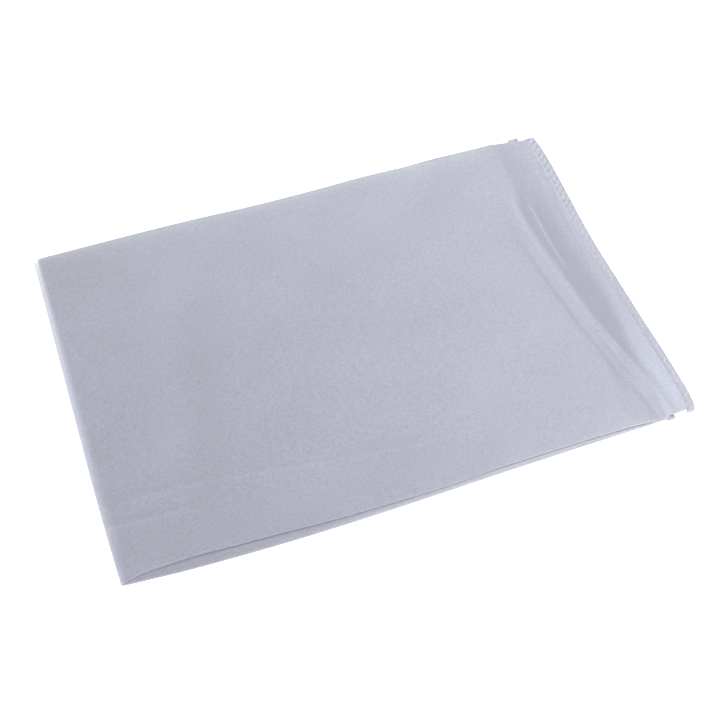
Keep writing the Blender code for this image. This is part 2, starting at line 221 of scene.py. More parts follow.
# How far the slot goes beyond the sheet's edge, the outer edge's share of the thickness, the step along
# a hem, and its rounded ends: how far past the end and how large the section still is
SLOT_CLEARANCE = 0.1
HEM_EDGE_SHARE = 0.45
HEM_STEP = 0.24
HEM_END_ROUNDING = ((0.22, 0.30), (0.17, 0.62), (0.08, 0.86))
# Height of the face under the upper hem, and where it comes down to it, from the hem's inner edge
FACE_UNDER_HEM = 0.96
UNDER_HEM_BAND = (-0.30, 0.25)

# Stitches: distance from the hemmed edge, pitch, length, thickness of the thread, how far the first and
# the last stay from the hem's ends, how far they lean, and how deep their ends dive
STITCH_OFFSET = 1.95
STITCH_PITCH = 2.64
STITCH_LENGTH = 1.60
THREAD = 0.28
STITCH_END_GAP = 1.2
STITCH_LEAN = 0.10
STITCH_DIVE = 0.30
# Threads: the height that each row is measured from, the share of it at which a thread lies and how far
# above that, and the rings and sides of each one
UPPER_THREAD_BED = 1.2
LOWER_THREAD_BED = 1.0
THREAD_SHARE = 0.84
THREAD_LIFT = 0.08
THREAD_RINGS = 9
THREAD_SIDES = 8
# How much a thread narrows towards its ends, and the least that is left, both of the radius squared
THREAD_TAPER = (0.75, 0.05)
# Hollow at each stitch: depth, half-width, slant, how far and how slowly the row wanders, and how the
# depth varies: middle, swing and turn from one to the next
PUCKER_DEPTH = 0.36
PUCKER_WIDTH = 0.40
PUCKER_SLANT = 0.85
PUCKER_WANDER = (0.35, 9.0)
PUCKER_SWING = (0.75, 0.25, 2.4)

# Hidden layers: x where a packet's sheets start and end, its bottom as a height and as a share of the
# face's height, what is lost at its top, and for each sheet its share of the packet's height and how
# far it stays behind the creases. Then the share of the face's height that a packet's sheets spread
# over, their thickness, and their columns and rows
INNER_PACKETS = (
    {"x": (-78.0, 66.0), "bottom": (0.34, 0.0), "lost": 0.34, "sheets": ((0.30, 3.4), (0.62, 4.2))},
    {"x": (-78.0, 67.0), "bottom": (0.0, 0.55), "lost": 0.35, "sheets": ((0.34, 3.6), (0.66, 4.4))},
)
INNER_PACKET_SHARE = 0.45
INNER_CLOTH = 0.16
INNER_GRID = (60, 44)

# Columns: from where to where, in distance from the hemmed edge, they are close and their step there,
# the step in the middle, the zone at the left end and its step, and how many go round the fold and under
MARGIN_START = 1.85
MARGIN_END = 25.0
MARGIN_STEP = 0.36
PANEL_STEP = 2.4
FOLD_ZONE = 14.0
FOLD_ZONE_STEP = 0.6
FOLD_COLUMNS = 20
UNDER_COLUMNS = 26
# X where the upper columns start to follow the hemmed edge and where they follow it fully, and where
# the lower ones start to
HEM_LEADS = (30.0, 62.0)
HEM_LEADS_BELOW = 20.0
# X where the upper columns follow the left fold fully and where no longer, and the power by which the
# lower ones let go of it
FOLD_LEADS = (-80.0, -50.0)
FOLD_LEADS_POWER = 4
# Rows over the face, round an edge and turned in. Then how the face's rows crowd towards the creases,
# the turned-in ones towards their edge and the lower columns towards the fold
FACE_ROWS = 216
BEAD_ROWS = 9
RETURN_ROWS = 7
FACE_CROWDING = 0.06
RETURN_CROWDING = 1.5
UNDER_CROWDING = 1.15


def curve(rows, column=1):
    """A smooth curve through a table's rows, read at any value of its first column."""
    at = np.array([row[0] for row in rows], dtype=float)
    value = np.array([row[column] for row in rows], dtype=float)
    slope = np.gradient(value, at)

    def read(where):
        where = np.clip(where, at[0], at[-1])
        i = np.clip(np.searchsorted(at, where, side="right") - 1, 0, len(at) - 2)
        span = at[i + 1] - at[i]
        t = (where - at[i]) / span
        start = (2 * t**3 - 3 * t**2 + 1) * value[i] + (t**3 - 2 * t**2 + t) * span * slope[i]
        end = (3 * t**2 - 2 * t**3) * value[i + 1] + (t**3 - t**2) * span * slope[i + 1]
        return start + end

    return read


upper_front = curve(UPPER_FRONT)
upper_back = curve(UPPER_BACK)
lower_front = curve(LOWER_FRONT)
lower_back = curve(LOWER_BACK)
left_fold = curve(LEFT_FOLD)
upper_right = curve(UPPER_RIGHT)
lower_right = curve(LOWER_RIGHT)
front_crease_height = curve(FRONT_CREASE_HEIGHT)
back_crease_height = curve(BACK_CREASE_HEIGHT)
drop_foot, drop_crest, foot_height, height_at_hem = (curve(DROP, column) for column in (1, 2, 3, 4))
fold_reach = curve(FOLD_REACH)
hem_width = curve(HEM_WIDTHS)
front_upper_edge = curve(FRONT_EDGES, 1)
front_gap = curve(FRONT_EDGES, 2)
back_upper_edge = curve(BACK_EDGES, 1)
back_gap = curve(BACK_EDGES, 2)
FOLD_START = fold_reach(0.0) - HALF_LENGTH


def ease(value, low, high):
    """0 below low, 1 above high, smooth between."""
    t = np.clip((value - low) / (high - low), 0.0, 1.0)
    return t * t * (3 - 2 * t)


def way_down(value, low, high, rounding):
    """0 below low, 1 above high, an even slope between with a rounding at both ends."""
    t = np.clip((value - low) / (high - low), 0.0, 1.0)
    start = t * t / (2 * rounding * (1 - rounding))
    end = 1 - (1 - t) ** 2 / (2 * rounding * (1 - rounding))
    middle = (t - rounding / 2) / (1 - rounding)
    return np.where(t < rounding, start, np.where(t > 1 - rounding, end, middle))


def pinch(x, y):
    """1 at the front end of the left fold, where the cloth is pressed flat, and 0 away from it."""
    from_corner = np.hypot(x - left_fold(y), y - upper_front(x))
    return 1 - ease(from_corner, 0.0, PINCH_LENGTH)


def folds(table, place, along, facing=1.0):
    """Height of a table's ridges and troughs, at a place across them and along them.

    facing is -1 where the second side of each fold lies at the smaller places.
    """
    total = np.zeros(np.broadcast(place, along).shape)
    for fold in table:
        away = facing * (place - curve(fold["line"])(along))
        low_side, high_side = fold["sides"]
        width = np.where(away > 0, high_side, low_side)
        starts, full, still_full, ends = fold["fade"]
        strength = ease(along, starts, full) * (1 - ease(along, still_full, ends))
        total = total + fold["height"] * strength * np.exp(-(away / width) ** 2)
    return total


def relief(offset, y):
    """Height of the ridges and troughs at a distance from the hemmed edge."""
    return folds(RELIEF, offset, y, facing=-1.0)


def wrinkles(offset, y):
    """Height of the small wrinkles beside the stitches, uneven along the hem."""
    wave = 0.0
    for strength, length, wander, slowness, phase in WRINKLE_WAVES:
        wandering = wander * np.sin(y / slowness + phase)
        wave = wave + strength * np.sin(2 * np.pi * y / (length * STITCH_PITCH) + wandering)
    middle, swing, length, wander, slowness = WRINKLE_SWING
    uneven = middle + swing * np.sin(y / length + wander * np.sin(y / slowness))
    return WRINKLE_HEIGHT * wave * uneven * np.exp(-np.maximum(offset - hem_width(y), 0.0) / WRINKLE_REACH)


def face_height(x, y):
    """Height of the upper face at a point of the plan."""
    height = np.full(np.broadcast(x, y).shape, STACK_HEIGHT)
    for sag_x, sag_y, reach_x, reach_y, depth in SAGS:
        height = height - depth * np.exp(-((x - sag_x) / reach_x) ** 2 - ((y - sag_y) / reach_y) ** 2)
    stack = height
    for to_crease, crease, (round_reach, round_drop) in (
        (np.maximum(y - upper_front(x), 0.0), front_crease_height(x), FRONT_ROUNDING),
        (np.maximum(upper_back(x) - y, 0.0), back_crease_height(x), BACK_ROUNDING),
    ):
        slow = np.maximum(stack - crease - round_drop, 0.0)
        height = height - slow * np.exp(-to_crease / CREASE_SLOPE)
        height = height - round_drop * np.exp(-to_crease / round_reach)
    to_fold = np.maximum(x - left_fold(y), 0.0)
    height = height + (np.minimum(FOLD_HEIGHT, height) - height) * np.exp(-to_fold / FOLD_SHOULDER)
    height = height + (CORNER_HEIGHT - height) * pinch(x, y)
    offset = upper_right(y) - x
    foot = drop_foot(y)
    width = hem_width(y)
    rise = (foot_height(y) - height_at_hem(y)) * np.clip((offset - width) / (foot - width), 0.0, 1.0)
    low = np.minimum(height_at_hem(y) + rise, height)
    height = low + (height - low) * way_down(offset, foot, drop_crest(y), DROP_ROUNDING)
    height = height + relief(offset, y) + wrinkles(offset, y)
    height = height + folds(SWELLS, x, y) + folds(SHOW_THROUGH, y, x)
    under = 1 - ease(offset, width + UNDER_HEM_BAND[0], width + UNDER_HEM_BAND[1])
    return height + (np.minimum(height, FACE_UNDER_HEM) - height) * under


class Rows:
    """The rows across the sheet: in behind the front crease, round it, over the face and back in."""

    def __init__(self):
        inwards = np.linspace(0.0, 1.0, RETURN_ROWS + 1)[1:] ** RETURN_CROWDING * RETURN_DEPTH
        turn = np.linspace(math.pi, 0.0, BEAD_ROWS + 2)[1:-1]
        even = np.linspace(0.0, 1.0, FACE_ROWS)
        shares = even - FACE_CROWDING * np.sin(2 * np.pi * even)
        count = 2 * (RETURN_ROWS + BEAD_ROWS) + FACE_ROWS
        self.side = np.zeros(count)
        self.inwards = np.zeros(count)
        self.turn = np.zeros(count)
        self.share = np.zeros(count)
        edge = RETURN_ROWS + BEAD_ROWS
        self.side[:edge] = -1
        self.side[-edge:] = 1
        self.inwards[:RETURN_ROWS] = inwards[::-1]
        self.inwards[-RETURN_ROWS:] = inwards
        self.turn[:RETURN_ROWS] = math.pi
        self.turn[-RETURN_ROWS:] = math.pi
        self.turn[RETURN_ROWS:edge] = turn
        self.turn[-edge:-RETURN_ROWS] = turn[::-1]
        self.share[edge:-edge] = shares
        self.share[-edge:] = 1.0


def across_sheet(rows, front, back, front_thick, back_thick, front_stands_out=0.0):
    """Places across the sheet and depths below its outer side, for one column."""
    front_reach = BEAD_REACH + STRIP_REACH * front_stands_out
    reach = np.where(rows.side < 0, front_reach, BEAD_REACH)
    low = front + front_reach
    high = back - BEAD_REACH
    y = low + (high - low) * rows.share + rows.side * reach * np.sin(rows.turn)
    y = y - rows.side * rows.inwards
    full = np.where(rows.side < 0, front_thick, back_thick)
    lower = np.where(rows.side < 0, 1 - STRIP_SLOPE * front_stands_out, 1.0)
    thick = full * lower
    spread_out = (full - thick) * (1 - np.exp(-rows.inwards / STRIP_SHOULDER))
    spread_out = spread_out + (PACKET_THICK - full) * (1 - np.exp(-rows.inwards / PACKET_SHOULDER))
    depth = thick * (1 - np.cos(rows.turn)) / 2 + np.where(rows.inwards > 0, spread_out, 0.0)
    return y, np.where(rows.side == 0, 0.0, depth)


def crease_tops(x_line, front, back):
    """Height of the face beside the front crease and beside the back one."""
    return (float(face_height(np.array(x_line), np.array(front + BEAD_REACH))),
            float(face_height(np.array(x_line), np.array(back - BEAD_REACH))))


def upper_stations():
    """X of the upper face's columns, from under the hem to the left fold."""
    margin = np.arange(MARGIN_START, MARGIN_END, MARGIN_STEP)
    stop = FOLD_ZONE - HALF_LENGTH
    panel = np.arange(HALF_LENGTH - MARGIN_END, stop, -PANEL_STEP)
    return list(HALF_LENGTH - margin) + list(panel) + list(np.arange(stop, FOLD_START, -FOLD_ZONE_STEP))


def face_column(rows, x_line, at_fold=False):
    """One column of the upper face, and how far its rows lie below the face."""
    near_hem = float(ease(x_line, *HEM_LEADS))
    near_fold = 1 - float(ease(x_line, *FOLD_LEADS))
    front, back = float(upper_front(x_line)), float(upper_back(x_line))
    front_top, back_top = crease_tops(x_line, front, back)
    front_thick = min(float(front_upper_edge(x_line)), front_top - FLOOR_GAP)
    back_thick = min(float(back_upper_edge(x_line)), back_top - FLOOR_GAP)
    y, depth = across_sheet(rows, front, back, front_thick, back_thick)
    turns_at = left_fold(y) + fold_reach(y)
    if at_fold:
        x = turns_at
    else:
        x = x_line + near_hem * (upper_right(y) - HALF_LENGTH)
        x = x + near_fold * (turns_at - FOLD_START)
        x = np.maximum(x, turns_at)
    on_face = np.clip(y, front + BEAD_REACH, back - BEAD_REACH)
    top = face_height(x, np.where(rows.side == 0, y, on_face))
    depth = np.minimum(depth, top - FLOOR_GAP)
    return np.stack([x, y, top - depth], axis=1), depth


def lower_row(rows, x_line, front_top, back_top):
    """Places across the lower packet and depths from the underside up, for one column."""
    front_thick = front_top - float(front_upper_edge(x_line)) - float(front_gap(x_line))
    back_thick = back_top - float(back_upper_edge(x_line)) - float(back_gap(x_line))
    front, back = float(lower_front(x_line)), float(lower_back(x_line))
    stands_out = max(float(upper_front(x_line) - lower_front(x_line)), 0.0)
    return across_sheet(rows, front, back, front_thick, back_thick, stands_out)


def fold_columns(rows, start, upper_depth, x_line):
    """Columns round the left fold, which turns about the middle of its height."""
    top = start[:, 2] + upper_depth
    half = top / 2
    front_top, back_top = (float(top[rows.side == side].min()) for side in (-1, 1))
    low_y, low_depth = lower_row(rows, x_line, front_top, back_top)
    columns = []
    for step in range(1, FOLD_COLUMNS + 1):
        angle = math.pi * step / FOLD_COLUMNS
        turned = (1 - math.cos(angle)) / 2
        y = start[:, 1] + (low_y - start[:, 1]) * turned
        deep = upper_depth + (low_depth - upper_depth) * turned
        reach = fold_reach(y)
        x = left_fold(y) + reach - np.maximum(reach - deep, TIGHTEST_TURN[0]) * math.sin(angle)
        z = half + np.maximum(half - deep, TIGHTEST_TURN[1]) * math.cos(angle)
        columns.append(np.stack([x, y, z], axis=1))
    return columns


def under_columns(rows, start_x, x_line):
    """Columns of the underside, from the left fold to the lower hem."""
    stop = LOWER_RIGHT[0][1] - MARGIN_START
    columns = []
    for share in np.linspace(0.0, 1.0, UNDER_COLUMNS + 1)[1:] ** UNDER_CROWDING:
        station = x_line + (stop - x_line) * share
        tops = crease_tops(station, upper_front(station), upper_back(station))
        y, deep = lower_row(rows, station, *tops)
        near_hem = float(ease(station, HEM_LEADS_BELOW, stop))
        x = station + near_hem * (lower_right(y) - MARGIN_START - stop)
        x = x + (start_x - x_line) * (1 - share) ** FOLD_LEADS_POWER
        room = RETURN_ROOM + RETURN_ROOM_AT_HEM * float(ease(station, *RETURN_ROOM_X))
        below_face = np.maximum(face_height(x, y) - room, 2 * FLOOR_GAP)
        deep = np.where(rows.inwards > 0, np.minimum(deep, below_face), deep)
        columns.append(np.stack([x, y, deep], axis=1))
    return columns


def outer_points():
    """Points of the outer side of the middle part: upper face, left fold, underside."""
    rows = Rows()
    columns = [face_column(rows, station)[0] for station in upper_stations()]
    start, depth = face_column(rows, -HALF_LENGTH, at_fold=True)
    x_line = float(start[:, 0].mean())
    columns.append(start)
    columns += fold_columns(rows, start, depth, x_line)
    columns += under_columns(rows, columns[-1][:, 0], x_line)
    return np.array(columns)


def shell(outer, thick):
    """Points and faces of a closed sheet from its outer side, with the thickness laid inwards."""
    along = np.gradient(outer, axis=0)
    cross = np.gradient(outer, axis=1)
    normal = np.cross(along, cross)
    normal /= np.maximum(np.linalg.norm(normal, axis=2, keepdims=True), 1e-9)
    if normal[2, normal.shape[1] // 2, 2] > 0:
        normal = -normal
    inner = outer + normal * thick
    columns, rows = outer.shape[:2]
    count = columns * rows
    points = np.concatenate([outer.reshape(-1, 3), inner.reshape(-1, 3)])
    faces = []
    for i in range(columns - 1):
        for j in range(rows - 1):
            a = i * rows + j
            b = a + rows
            faces.append((a, b, b + 1, a + 1))
            faces.append((count + a + 1, count + b + 1, count + b, count + a))
    rim = [i * rows for i in range(columns - 1)]
    rim += [(columns - 1) * rows + j for j in range(rows - 1)]
    rim += [i * rows + rows - 1 for i in range(columns - 1, 0, -1)]
    rim += list(range(rows - 1, 0, -1))
    for k in range(len(rim)):
        a, b = rim[k], rim[(k + 1) % len(rim)]
        faces.append((a, count + a, count + b, b))
    return points, faces


def add_piece(name, points, faces, material, node):
    """One piece of the part, in place on the body, in its material and for its solid."""
    mesh = bpy.data.meshes.new(name)
    mesh.from_pydata((np.asarray(points) * MM).tolist(), [], faces)
    shape = bmesh.new()
    shape.from_mesh(mesh)
    bmesh.ops.recalc_face_normals(shape, faces=shape.faces)
    shape.to_mesh(mesh)
    shape.free()
    mesh.shade_smooth()
    mesh.set_sharp_from_angle(angle=math.radians(SHARP_ANGLE))
    mesh.materials.append(material)
    piece = bpy.data.objects.new(name, mesh)
    bpy.context.collection.objects.link(piece)
    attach(piece, "root")
    if node:
        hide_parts(node)
    return piece


# Shades of the satin: name, colour, roughness, sheen
FACE_SATIN = ("silver_satin", (0.43, 0.442, 0.52), 0.42, 0.25)
# Painted shade: the hidden layers' satin is a darker copy of the face's, for the shade between the packets
SHADED_INSIDE_SATIN = ("silver_satin_inside", (0.38, 0.392, 0.47), 0.50, 0.15)
# Painted light: the hems' satin is a lighter copy of the face's
LIT_HEM_SATIN = ("silver_satin_hem", (0.45, 0.462, 0.54), 0.40, 0.25)
THREAD_SATIN = ("silver_thread", (0.55, 0.562, 0.64), 0.35, 0.30)
SATIN_IOR = 1.6
SATIN_SPECULAR = 0.7
SHEEN_ROUGHNESS = 0.35
# Patterns in it: scale per millimetre along X, Y and Z, detail, turn in degrees
CLOUDS = ((0.028, 0.040, 0.05), 1.0, 25.0)
GRAIN = ((1.5, 1.9, 1.9), 2.0, 0.0)
FLOATS = ((1.3, 5.5, 5.5), 1.0, 0.0)
PATTERN_ROUGHNESS = 0.55
# The part of a pattern's values that is used, the darkest and lightest tone that each one gives, and
# how far the grain moves the roughness up and down
PATTERN_RANGE = (0.25, 0.75)
CLOUD_TONES = (0.97, 1.03)
GRAIN_TONES = (0.875, 1.125)
FLOAT_TONES = (0.96, 1.04)
GRAIN_ROUGHNESS = 0.05
# Bump of the weave: share of the floats in it, strength, height
FLOAT_SHARE = 0.5
BUMP_STRENGTH = 0.5
BUMP_HEIGHT = 0.03
# Painted light: beside the front half of the hem, where a single layer lies on the floor, the face's
# colour
# is made lighter: a direction in plan, where the band starts and is full along it, y where it starts and
# is full, and how much lighter it is there
PAINTED_LIGHT_DIRECTION = (0.998, -0.066, 0.0)
PAINTED_LIGHT_BAND = (77.2, 79.6)
PAINTED_LIGHT_LENGTH = (8.0, -48.0)
PAINTED_LIGHT_GAIN = 0.17


def noise_branch(tree, coordinates, name, pattern):
    """A noise texture on the cloth, from its scale along X, Y and Z, its detail and its turn."""
    scale, detail, turn = pattern
    mapping = tree.nodes.new("ShaderNodeMapping")
    mapping.name = name + " place"
    mapping.inputs["Scale"].default_value = [s / MM for s in scale]
    mapping.inputs["Rotation"].default_value = (0.0, 0.0, math.radians(turn))
    noise = tree.nodes.new("ShaderNodeTexNoise")
    noise.name = name
    noise.inputs["Scale"].default_value = 1.0
    noise.inputs["Detail"].default_value = detail
    noise.inputs["Roughness"].default_value = PATTERN_ROUGHNESS
    tree.links.new(coordinates, mapping.inputs["Vector"])
    tree.links.new(mapping.outputs["Vector"], noise.inputs["Vector"])
    return noise.outputs["Fac"]


def map_range(tree, value, from_range, to_range, smooth=False):
    """Maps a value from one range onto another and holds it at their ends."""
    ranged = tree.nodes.new("ShaderNodeMapRange")
    if smooth:
        ranged.interpolation_type = "SMOOTHSTEP"
    ranged.inputs["From Min"].default_value, ranged.inputs["From Max"].default_value = from_range
    ranged.inputs["To Min"].default_value, ranged.inputs["To Max"].default_value = to_range
    tree.links.new(value, ranged.inputs["Value"])
    return ranged.outputs["Result"]


def multiply(tree, first, second):
    """The product of two values."""
    node = tree.nodes.new("ShaderNodeMath")
    node.operation = "MULTIPLY"
    tree.links.new(first, node.inputs[0])
    tree.links.new(second, node.inputs[1])
    return node.outputs["Value"]


def painted_light_by_hem(tree, coordinates):
    """Painted light: 1, and more beside the hem's front half, where a single layer lies on the white
    floor.
    """
    place = tree.nodes.new("ShaderNodeVectorMath")
    place.operation = "DOT_PRODUCT"
    place.inputs[1].default_value = PAINTED_LIGHT_DIRECTION
    tree.links.new(coordinates, place.inputs[0])
    beside = map_range(tree, place.outputs["Value"], [v * MM for v in PAINTED_LIGHT_BAND], (0.0, 1.0), smooth=True)
    split = tree.nodes.new("ShaderNodeSeparateXYZ")
    tree.links.new(coordinates, split.inputs["Vector"])
    along = map_range(tree, split.outputs["Y"], [v * MM for v in PAINTED_LIGHT_LENGTH], (0.0, PAINTED_LIGHT_GAIN))
    whole = tree.nodes.new("ShaderNodeMath")
    whole.operation = "ADD"
    whole.inputs[1].default_value = 1.0
    tree.links.new(multiply(tree, beside, along), whole.inputs[0])
    return whole.outputs["Value"]


def satin(shade, thin=False):
    """Satin: soft clouds, a fine grain and short floats of the weave, in colour, gloss and bump."""
    name, colour, roughness, sheen = shade
    material = bpy.data.materials.new(name)
    material.use_nodes = True
    tree = material.node_tree
    shader = tree.nodes["Principled BSDF"]
    coordinates = tree.nodes.new("ShaderNodeTexCoord").outputs["Object"]
    clouds = noise_branch(tree, coordinates, "clouds", CLOUDS)
    grain = noise_branch(tree, coordinates, "grain", GRAIN)
    floats = noise_branch(tree, coordinates, "floats", FLOATS)
    cloud_tone = map_range(tree, clouds, PATTERN_RANGE, CLOUD_TONES)
    tone = multiply(tree, cloud_tone, map_range(tree, grain, PATTERN_RANGE, GRAIN_TONES))
    tone = multiply(tree, tone, map_range(tree, floats, PATTERN_RANGE, FLOAT_TONES))
    # Painted light: with thin, the face's colour is made lighter beside the hem's front half
    if thin:
        tone = multiply(tree, tone, painted_light_by_hem(tree, coordinates))
    base = tree.nodes.new("ShaderNodeMix")
    base.data_type = "RGBA"
    base.blend_type = "MULTIPLY"
    base.inputs["Factor"].default_value = 1.0
    base.inputs["A"].default_value = (*colour, 1.0)
    tree.links.new(tone, base.inputs["B"])
    tree.links.new(base.outputs["Result"], shader.inputs["Base Color"])
    gloss = (roughness - GRAIN_ROUGHNESS, roughness + GRAIN_ROUGHNESS)
    tree.links.new(map_range(tree, grain, PATTERN_RANGE, gloss), shader.inputs["Roughness"])
    shader.inputs["IOR"].default_value = SATIN_IOR
    shader.inputs["Specular IOR Level"].default_value = SATIN_SPECULAR
    shader.inputs["Sheen Weight"].default_value = sheen
    shader.inputs["Sheen Roughness"].default_value = SHEEN_ROUGHNESS
    weave = tree.nodes.new("ShaderNodeMath")
    weave.operation = "MULTIPLY_ADD"
    weave.inputs[1].default_value = FLOAT_SHARE
    tree.links.new(floats, weave.inputs[0])
    tree.links.new(grain, weave.inputs[2])
    bump = tree.nodes.new("ShaderNodeBump")
    bump.inputs["Strength"].default_value = BUMP_STRENGTH
    bump.inputs["Distance"].default_value = BUMP_HEIGHT * MM
    tree.links.new(weave.outputs["Value"], bump.inputs["Height"])
    tree.links.new(bump.outputs["Normal"], shader.inputs["Normal"])
    return material


def outer_sheet(material):
    """The middle part: upper face, left fold and underside."""
    points, faces = shell(outer_points(), CLOTH)
    return add_piece("satin_outer", points, faces, material, "outer_layer")


def inner_sheets(material):
    """The folded-in parts: two thin sheets in each packet, stepped back one behind the other."""
    points = []
    faces = []
    for packet in INNER_PACKETS:
        x_grid = np.linspace(*packet["x"], INNER_GRID[0])
        x, v = np.meshgrid(x_grid, np.linspace(0.0, 1.0, INNER_GRID[1]), indexing="ij")
        bottom, bottom_share = packet["bottom"]
        for share, setback in packet["sheets"]:
            front = np.maximum(upper_front(x), lower_front(x)) + setback
            back = np.minimum(upper_back(x), lower_back(x)) - setback
            y = front + (back - front) * v
            top = face_height(x, y)
            z = bottom + top * bottom_share + share * (top * INNER_PACKET_SHARE - packet["lost"])
            sheet_points, sheet_faces = shell(np.stack([x, y, z], axis=2)[::-1], INNER_CLOTH)
            faces += [tuple(n + len(points) for n in face) for face in sheet_faces]
            points += sheet_points.tolist()
    return add_piece("satin_inner", points, faces, material, "inner_layers")


def hem_section(thick, slot_bottom, slot_top, width):
    """Once round a hem's section: distance from the outer edge, height, how much it puckers."""
    tuck = MARGIN_START - SLOT_CLEARANCE
    past = width - STITCH_OFFSET
    return (
        (0.00, thick * HEM_EDGE_SHARE, 0.0), (0.03, thick * 0.62, 0.1), (0.12, thick * 0.80, 0.3),
        (0.28, thick * 0.93, 0.6), (0.55, thick * 1.00, 0.9), (0.90, thick * 1.02, 1.0),
        (1.25, thick * 1.00, 1.0), (1.55, thick * 0.95, 1.0), (1.75, thick * 0.89, 1.0),
        (STITCH_OFFSET, thick * 0.86, 1.0), (STITCH_OFFSET + 0.18 * past, thick * 0.88, 0.8),
        (STITCH_OFFSET + 0.36 * past, thick * 0.90, 0.6), (STITCH_OFFSET + 0.60 * past, thick * 0.90, 0.4),
        (STITCH_OFFSET + 0.80 * past, thick * 0.88, 0.2), (STITCH_OFFSET + 0.93 * past, thick * 0.83, 0.1),
        (width, max(thick * 0.76, slot_top), 0.1), (width - 0.02, slot_top, 0.0), (tuck, slot_top, 0.0),
        (tuck, slot_bottom, 0.0), (width - 0.04, slot_bottom, 0.0),
        (width - 0.10, max(slot_bottom - 0.2, 0.0), 0.0),
        (width - 0.30, 0.0, 0.0), (1.3, 0.0, 0.0), (0.40, 0.0, 0.0), (0.14, thick * 0.10, 0.0),
        (0.04, thick * 0.26, 0.0),
    )


def pucker(offset, y):
    """Small slanted hollows that each stitch pulls into the hem."""
    slant = PUCKER_SLANT * (STITCH_OFFSET - offset)
    wander, slowness = PUCKER_WANDER
    phase = (y - slant + wander * np.sin(y / slowness)) / STITCH_PITCH
    near = np.abs(phase - np.round(phase)) * STITCH_PITCH
    middle, swing, turn = PUCKER_SWING
    uneven = middle + swing * np.sin(phase.round() * turn)
    return -PUCKER_DEPTH * uneven * np.exp(-(near / PUCKER_WIDTH) ** 2)


def hem(name, edge, ends, sizes, material, node):
    """A turned hem along an edge, with rounded ends and a slot for the edge of the sheet."""
    thick, slot_bottom, slot_top = sizes
    first, last = ends
    places = [(first - past, size) for past, size in HEM_END_ROUNDING]
    steps = int((last - first) / HEM_STEP)
    places += [(y, 1.0) for y in np.linspace(first, last, steps)]
    places += [(last + past, size) for past, size in reversed(HEM_END_ROUNDING)]
    middle = thick * HEM_EDGE_SHARE
    points = []
    faces = []
    for k, (y, size) in enumerate(places):
        width = float(hem_width(y))
        section = hem_section(thick, slot_bottom, slot_top, width)
        count = len(section)
        for offset, height, puckers in section:
            drawn = width / 2 + (offset - width / 2) * (1 + size) / 2
            z = height + puckers * float(pucker(offset, np.array(y))) * size
            z = middle + (z - middle) * size
            points.append((float(edge(y)) - drawn, y, z))
        if k:
            for n in range(count):
                m = (n + 1) % count
                faces.append(((k - 1) * count + n, k * count + n, k * count + m, (k - 1) * count + m))
    faces.append(tuple(range(count)))
    faces.append(tuple(reversed(range(len(points) - count, len(points)))))
    return add_piece(name, points, faces, material, node)


def stitches(name, edge, ends, bed, material):
    """A row of thread stitches that dive into the hem at both ends."""
    points = []
    faces = []
    first, last = ends
    number = int((last - first - STITCH_END_GAP) / STITCH_PITCH)
    start = math.ceil((first + STITCH_END_GAP) / STITCH_PITCH)
    taper, least = THREAD_TAPER
    for k in range(start, start + number):
        middle = (k + 0.5) * STITCH_PITCH
        if middle > last - STITCH_END_GAP:
            break
        base = len(points)
        for ring in range(THREAD_RINGS):
            along = ring / (THREAD_RINGS - 1) * 2 - 1
            y = middle + along * STITCH_LENGTH / 2
            x = float(edge(y)) - (STITCH_OFFSET + STITCH_LEAN * along)
            z = bed * THREAD_SHARE + THREAD_LIFT - STITCH_DIVE * abs(along) ** 3
            radius = THREAD / 2 * math.sqrt(max(1 - taper * along * along, least))
            for side in range(THREAD_SIDES):
                turn = 2 * math.pi * side / THREAD_SIDES
                points.append((x + radius * math.cos(turn), y, z + radius * math.sin(turn)))
            if ring:
                a = base + (ring - 1) * THREAD_SIDES
                for side in range(THREAD_SIDES):
                    n = (side + 1) % THREAD_SIDES
                    faces.append((a + side, a + THREAD_SIDES + side, a + THREAD_SIDES + n, a + n))
        end = base + (THREAD_RINGS - 1) * THREAD_SIDES
        faces.append(tuple(base + side for side in range(THREAD_SIDES)))
        faces.append(tuple(end + side for side in reversed(range(THREAD_SIDES))))
    return add_piece(name, points, faces, material, None)


def aimed(azimuth, elevation, roll=0.0):
    """Rotation that looks towards azimuth (0 is +Y, 90 is +X), down by elevation, in degrees."""
    a, e, r = (math.radians(v) for v in (azimuth, elevation, roll))
    forward = Vector((math.sin(a) * math.cos(e), math.cos(a) * math.cos(e), -math.sin(e)))
    right = Vector((math.cos(a), -math.sin(a), 0.0))
    up = right.cross(forward)
    turned_right = right * math.cos(r) + up * math.sin(r)
    turned_up = up * math.cos(r) - right * math.sin(r)
    return Matrix((turned_right, turned_up, -forward)).transposed()


# Camera: place in metres, where it looks and how it is turned in degrees, lens and sensor in
# millimetres, and the nearest and farthest distance in metres that it sees
CAMERA_PLACE = (-0.076047, -0.231323, 0.317400)
CAMERA_HEADING = 18.68
CAMERA_DOWN = 53.52
CAMERA_ROLL = -0.356
CAMERA_LENS = 67.16
CAMERA_SENSOR = 36.0
CAMERA_CLIP = (0.01, 20.0)


def camera():
    """The camera of the photo's view."""
    data = bpy.data.cameras.new("camera")
    data.lens = CAMERA_LENS
    data.sensor_width = CAMERA_SENSOR
    data.clip_start, data.clip_end = CAMERA_CLIP
    eye = bpy.data.objects.new("camera", data)
    turned = aimed(CAMERA_HEADING, CAMERA_DOWN, CAMERA_ROLL).to_4x4()
    eye.matrix_world = Matrix.Translation(CAMERA_PLACE) @ turned
    bpy.context.collection.objects.link(eye)
    bpy.context.scene.camera = eye


NEUTRAL = (1.0, 1.0, 1.0)
COOL = (0.96, 1.0, 1.0)
WARM = (1.0, 0.98, 0.985)
